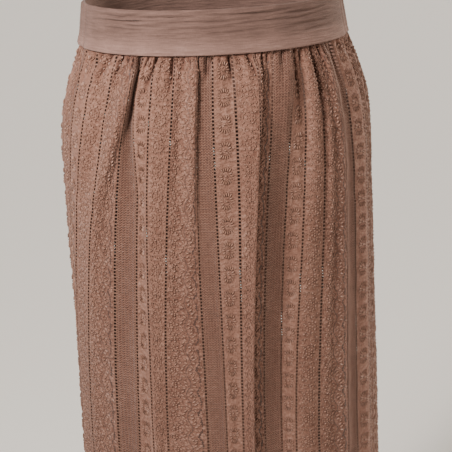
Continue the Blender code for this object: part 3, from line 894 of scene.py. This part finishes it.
# motif, its band, the stitches, and where its first middle lies down the cloth, mm
MOTIFS = (
    ("daisies", "daisy", DAISY, 15),
    ("medallions", "medallion", MEDALLION, 9),
    ("leaves", "leaf", LEAF, 0),
)
FULL_HEIGHT = 0.9             # a stitch charted lower than this lies in the others' shade, mm
LOFT = 1.5                    # the thread is padded up to this many times its charted height
SPREAD = (1.15, 1.3)          # and lies this much longer and wider than charted
RIBS = (-7.6, -4.6, -1.5, 1.5, 4.6, 7.6)      # raised ribs across a chevron band, mm
# the ribs' half width, height and step, mm, and the painted highlight on top
RIB_CORD = (0.45, 0.3, 8.5, 0.62)
SEAM_CLEAR = 0.8              # stitches stay this far from the side seams, mm
MOST_BENT = 0.6               # cosine of the sharpest crease that a stitch can lie on


def stitches(cloth, middles, motif):
    """Raised lens-shaped stitches of one motif at every middle, as one set."""
    chart = np.array(motif, float)
    outline = np.array([(-0.5, 0.0, 0.0), (0.0, -0.5, 0.0), (0.5, 0.0, 0.0), (0.0, 0.5, 0.0),
                        (-0.2, 0.0, 1.0), (0.2, 0.0, 1.0)])
    turn = np.radians(chart[:, 4])[:, None]
    along = outline[None, :, 0] * chart[:, 2, None] * SPREAD[0]
    wide = outline[None, :, 1] * chart[:, 3, None] * SPREAD[1]
    across = chart[:, 0, None] + along * np.cos(turn) - wide * np.sin(turn)
    down = chart[:, 1, None] + along * np.sin(turn) + wide * np.cos(turn)
    middles = np.asarray(middles)
    place = middles[:, 0, None, None] + across
    drop = middles[:, 1, None, None] + down
    lift = np.broadcast_to(outline[:, 2] * chart[:, 5, None], place.shape)
    # painted shade: darkest at a stitch's rim, with a painted highlight on its crown that is dimmer on
    # a low stitch
    painted_shading = lift / np.maximum(chart[:, 5, None], FULL_HEIGHT)
    fits = ((place.min(-1) > SEAM_CLEAR) & (place.max(-1) < cloth["span"] - SEAM_CLEAR)
            & (drop.min(-1) > 1.0) & (drop.max(-1) < HEM_DROP - 1.5))
    place, drop, lift, painted_shading = place[fits] * MM, drop[fits] * MM, lift[fits] * MM, painted_shading[fits]
    # a stitch on a crease too sharp for it is drawn right into the cloth
    facing = normals_at(cloth, place, drop)
    flat = ((facing[:, 0] * facing[:, 2]).sum(-1) > MOST_BENT) & (
        (facing[:, 1] * facing[:, 3]).sum(-1) > MOST_BENT)
    place, drop, lift, painted_shading = place[flat], drop[flat], lift[flat], painted_shading[flat]
    points = on_cloth(cloth, place, drop, lift * LOFT + CLOTH_THICK * 0.3).reshape(-1, 3)
    index = np.arange(place.size).reshape(place.shape)
    corners = [(0, 1, 4), (1, 5, 4), (1, 2, 5), (2, 3, 5), (3, 4, 5), (3, 0, 4), (0, 3, 1),
               (1, 3, 2)]
    faces = np.concatenate([index[:, list(corner)][:, ::-1] for corner in corners])
    return points, faces, columns_of(place, drop), painted_shading.ravel()


for side, cloth, start, _, _ in panels:
    repeats = range(-1, int(cloth["span"] / REPEAT) + 2)
    for name, band_name, motif, first in MOTIFS:
        _, band_start, band_width = next(band for band in BANDS if band[0] == band_name)
        middles = [(start + REPEAT * k + band_start + band_width / 2, first + PITCH_DOWN * j)
                   for k in repeats for j in range(-1, 28)]
        needlework[side].append(dress(f"{side}_{name}", [stitches(cloth, middles, motif)]))
    chevron_middle = BANDS[2][1] + BANDS[2][2] / 2
    ribs = [start + REPEAT * k + chevron_middle + rib for k in repeats for rib in RIBS]
    ribs = [rib for rib in ribs if 2.0 < rib < cloth["span"] - 2.0]
    needlework[side].append(dress(side + "_ribs", [rails(cloth, ribs, *RIB_CORD)]))

# ---- HEM ----
# The panels' lower edges are turned up 30 mm inside and sewn with a line of straight
# stitches. The turned layer wraps round the bottom edge.
HEM_DEPTH = 30.0
# drop from the hem's top and lift off the cloth, mm, round the turned layer and back
HEM_SHAPE = ((0.0, -0.45), (0.0, -1.0), (14.0, -1.1), (28.6, -1.1), (30.3, -0.75),
             (30.6, -0.2), (30.3, 0.35), (29.2, 0.5), (29.2, 0.3), (29.4, -0.35), (14.0, -0.5))
HEM_STITCH = (2.6, 0.6, 0.35)                 # length, width and height of one stitch, mm
HEM_COLUMN = 2.6              # width of the hem's columns of faces
HEM_STITCHING = (3.0, 3.6, 2.0)               # from the side seams, apart, and below the edge


def tube_faces(rows, count):
    """Quads between closed rings of points: so many rings, of so many points each."""
    index = np.arange(rows * count).reshape(rows, count)
    after = np.roll(index, -1, axis=1)
    return np.stack([index[:-1], index[1:], after[1:], after[:-1]], -1).reshape(-1, 4)


for side, cloth, _, _, _ in panels:
    shape = np.array(HEM_SHAPE)
    place = np.linspace(0, cloth["width"], round(cloth["span"] / HEM_COLUMN))
    place, down = np.meshgrid(place, shape[:, 0], indexing="ij")
    drop = np.minimum(down - HEM_DEPTH + HEM_DROP, HEM_DROP) * MM
    points = on_cloth(cloth, place, drop, np.broadcast_to(shape[:, 1], place.shape) * MM)
    points[..., 2] -= (down - HEM_DEPTH).clip(0) * MM
    hem = new_piece(side + "_hem", points.reshape(-1, 3), tube_faces(*place.shape),
                    columns_of(place, drop), sharp=70)
    fix(hem, bpy.data.materials[f"eyelet_cotton_{side}"])
    inset, apart, below = HEM_STITCHING
    spots = [(p, HEM_DROP - HEM_DEPTH + below)
             for p in np.arange(inset, cloth["span"] - inset, apart)]
    length, width, height = HEM_STITCH
    sewing = dress(side + "_hem_stitches",
                   [stitches(cloth, spots, ((0, 0, length, width, 0, height),))])
    needlework[side] += [hem, sewing]

# ---- WAISTBAND ----
# Two layers of plain cotton folded over at the top. The front is flat, with the long soft
# creases that a worn band takes. The back holds elastic, and is drawn up into ruches.
BAND_HEIGHT = 45.0            # mm
BAND_LIFT = 1.3               # its faces off its middle, mm: it is 2.6 mm thick
BAND_GROOVE = (0.0007, 0.0016)                # depth and half width of its side seams
BAND_RUCHES = 32
RUCHE_HEIGHT = 0.0011
# crease: from and to, round from the centre front, its height at each end, half width and
# how far it stands out, mm
BAND_CREASES = (
    (-150, -66, 31, 35.5, 1.8, -2.4), (-140, -84, 36.5, 39, 1.7, -2.2),
    (-136, -52, 33.6, 37.2, 1.8, 1.3), (-132, -70, 25, 26, 2, -1.8),
    (-120, -48, 28.4, 29.6, 1.9, -1.6), (-96, -10, 36, 39.5, 1.8, -1.7), (-70, 40, 31, 34, 2, -1.9),
    (-60, 24, 25.4, 27, 2, -1.4), (-130, -88, 20, 20.6, 2.2, -1.3), (-40, 50, 21, 22.4, 2.2, -1.1),
    (-6, 92, 36.5, 40, 1.9, -1.6), (12, 126, 28.5, 31, 2.2, -1.3), (44, 140, 33.6, 37, 2, -1.4),
    (70, 150, 21, 25, 2.4, -1.2), (-20, 70, 40.2, 42, 1.6, 1), (-110, -30, 41, 41.6, 1.6, 1),
    (90, 160, 15, 18, 2.6, -1), (-156, -118, 12, 15, 2.4, -0.9),
)
BAND_PINCH = 0.0022           # a crease this deep takes the darkest painted shade
# the band's cross section, mm: height above the seam and lift off its middle, outer face
# first, over the folded top, and down the inner face
BAND_SHAPE = (
    [(0.0, 0.9), (0.5, BAND_LIFT)] + [(1.6 + i, BAND_LIFT) for i in range(42)]
    + [(43.7, 1.22), (44.6, 0.85), (BAND_HEIGHT, 0.1), (44.7, -0.75), (43.8, -1.2)]
    + [(height, -BAND_LIFT) for height in (32.0, 20.0, 8.0, 0.5)] + [(0.0, -0.9)]
)
BAND_COLUMNS = (240, 400)     # columns of faces in front and at the back
# plain cotton dyed to match: matt, and a little greyer than the embroidered cloth, with painted shade
# in its crinkles' hollows and a painted highlight on their crests
band_cotton = woven_cotton("plain_band_cotton", ("#3b2923", "#58433c", "#6d544c", "#866b62"),
                           (26.0, 2.4, 1.3))


def band_creases(around, height):
    """How far the flat band's long creases stand out, and how it leans out at its foot."""
    out = np.zeros_like(around)
    for start, end, low, high, half_width, depth in BAND_CREASES:
        along = np.clip((around / MM - start) / (end - start), 0, 1)
        middle = low + (high - low) * along + 0.7 * np.sin(along * 7.0)
        q = np.clip((height - middle) / half_width, -1, 1)
        out += (1 - q * q)**2 * np.sin(math.pi * along)**0.8 * depth * MM
    return out + (1.6 * smooth(-17, -1, -height) - 0.5 * smooth(14, 22, height)) * MM


def make_band(name, start, end, columns, ruches):
    """A stretch of the band between two distances round the seam, ruched over elastic."""
    share = np.linspace(0, 1, columns)
    whole = ring_length(0.0)
    points = np.empty((columns, len(BAND_SHAPE), 3))
    places = np.empty((columns, len(BAND_SHAPE), 2))
    crease_shade = np.zeros((columns, len(BAND_SHAPE)))
    ends = smooth(0, 0.04, share) * smooth(0, 0.04, 1 - share)
    edge = np.minimum(share, 1 - share) * (end - start)
    groove = -BAND_GROOVE[0] * np.exp(-(edge / BAND_GROOVE[1])**2)
    for i, (height, lift) in enumerate(BAND_SHAPE):
        drop = -height * MM
        around = (start + (end - start) * share) * ring_length(drop) / whole
        outer = max(lift, 0.0) / BAND_LIFT
        out = lift * MM + outer * groove
        if ruches:
            wander = 0.25 * np.sin(share * 41.0) + 0.12 * np.sin(share * 97.0 + height / 9.0)
            wave = np.sin(2 * math.pi * (ruches * share + wander))
            fine = 0.25 * np.sin(2 * math.pi * (2.3 * ruches * share) + height / 5.0)
            out = out + outer * ends * RUCHE_HEIGHT * (1 + 0.85 * wave + fine)
        else:
            creased = band_creases(around, height)
            out = out + outer * ends * creased
            crease_shade[:, i] = np.clip(-creased / BAND_PINCH, 0, 1)
        points[:, i, 0], points[:, i, 1] = on_ring(around, drop, out)
        points[:, i, 2] = SEAM_HEIGHT + height * MM
        places[:, i, 0] = start + (end - start) * share
        places[:, i, 1] = (height if lift >= 0 else 2 * BAND_HEIGHT - height) * MM
    # painted light on the lower part of its outer face and painted shade above it and inside, with
    # painted shade down in its long creases
    painted_light_below = 0.45 + 0.55 * smooth(-20, -5, -places[..., 1] / MM)
    piece = new_piece(name, points.reshape(-1, 3), tube_faces(columns, len(BAND_SHAPE)),
                      places.reshape(-1, 2), (painted_light_below * (1 - 0.6 * crease_shade)).ravel(), sharp=80)
    fix(piece, band_cotton)
    return piece


right_seam, left_seam = front_lines_around(0.0)[[0, -1]]
seam_ring = ring_length(0.0)
front_band = make_band("front_waistband", right_seam + SEAM_GAP / 2, left_seam - SEAM_GAP / 2,
                       BAND_COLUMNS[0], 0)
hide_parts("waistband_front")
back_band = make_band("back_waistband", left_seam + SEAM_GAP / 2,
                      seam_ring + right_seam - SEAM_GAP / 2, BAND_COLUMNS[1], BAND_RUCHES)
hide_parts("waistband_back")

# ---- STUDIO ----
# A pale floor well below the hem, soft daylight from the upper left, and the photo's camera:
# close, a little above the waist and looking down at the gathers.
FLOOR_HEIGHT = -1.06
FLOOR_SIZE = 36
CAMERA_OUT = 1.33             # from the middle of the waist, level
CAMERA_UP = 0.25              # above the waist seam
CAMERA_ROUND = math.radians(-3.0)
CAMERA_DOWN = math.radians(19.5)
CAMERA_ASIDE = math.radians(0.21)
CAMERA_ROLL = math.radians(2.4)
LENS = 97.6

bpy.ops.mesh.primitive_plane_add(size=FLOOR_SIZE, location=(0, 0, FLOOR_HEIGHT))
floor = bpy.context.object
floor.name = "studio_floor"
paper, paper_tree = new_material("pale_paper", {"Roughness": 0.9})
paper_grain = add(paper_tree, "TexNoise", {"Scale": 6.0, "Detail": 3.0})
paper_ramp = add(paper_tree, "ValToRGB", {"Fac": paper_grain})
paper_ramp.color_ramp.elements[0].color = linear("#efeee9")
paper_ramp.color_ramp.elements[1].color = linear("#f6f5f1")
paper_tree.links.new(paper_ramp.outputs["Color"],
                     paper_tree.nodes["Principled BSDF"].inputs["Base Color"])
floor.data.materials.append(paper)

world = bpy.data.worlds.new("soft_sky")
bpy.context.scene.world = world
world.use_nodes = True
sky = world.node_tree.nodes["Background"]
sky.inputs["Color"].default_value = linear("#eceef0")
# the backdrop is as pale as the floor, but lights the skirt only a little
seen = add(world.node_tree, "LightPath").outputs["Is Camera Ray"]
glow = add(world.node_tree, "MapRange", {"Value": seen, "To Min": 0.16, "To Max": 0.85})
world.node_tree.links.new(glow.outputs["Result"], sky.inputs["Strength"])


def shine(name, kind, energy, source, colour, aim=(0, 0, 0), **settings):
    """A light that shines from source towards aim."""
    data = bpy.data.lights.new(name, kind)
    data.energy = energy
    data.color = linear(colour)[:3]
    for key, value in settings.items():
        setattr(data, key, value)
    light = new_object(name, data)
    light.location = source
    light.rotation_euler = (Vector(source) - Vector(aim)).to_track_quat("Z", "Y").to_euler()


# soft suns light the whole studio, and a square lamp the top of the skirt more than its foot
shine("window", "SUN", 2.4, (-0.530, -0.640, 0.555), "#fff8f2", angle=math.radians(9))
shine("lamp", "AREA", 15.5, (-0.56, -0.54, 0.38), "#fff8f2", aim=(0, -0.05, -0.06), size=0.20)
shine("fill", "SUN", 2.2, (0.90, -0.36, 0.275), "#fbefe0", angle=math.radians(40))
shine("back", "SUN", 3.6, (0.86, 0.56, 0.34), "#ffefe0", angle=math.radians(16))

heading = -CAMERA_ROUND + CAMERA_ASIDE
ahead = Vector((math.sin(heading) * math.cos(CAMERA_DOWN),
                math.cos(heading) * math.cos(CAMERA_DOWN), -math.sin(CAMERA_DOWN)))
level = Vector((math.cos(heading), -math.sin(heading), 0.0))
over = level.cross(ahead)
right = level * math.cos(CAMERA_ROLL) - over * math.sin(CAMERA_ROLL)
upward = over * math.cos(CAMERA_ROLL) + level * math.sin(CAMERA_ROLL)
camera_data = bpy.data.cameras.new("camera")
camera_data.sensor_width = 36.0
camera_data.lens = LENS
camera = new_object("camera", camera_data)
place = Vector((CAMERA_OUT * math.sin(CAMERA_ROUND), -CAMERA_OUT * math.cos(CAMERA_ROUND),
                SEAM_HEIGHT + CAMERA_UP))
turn = Matrix((right, upward, -ahead)).transposed().to_4x4()
camera.matrix_world = Matrix.Translation(place) @ turn
bpy.context.scene.camera = camera
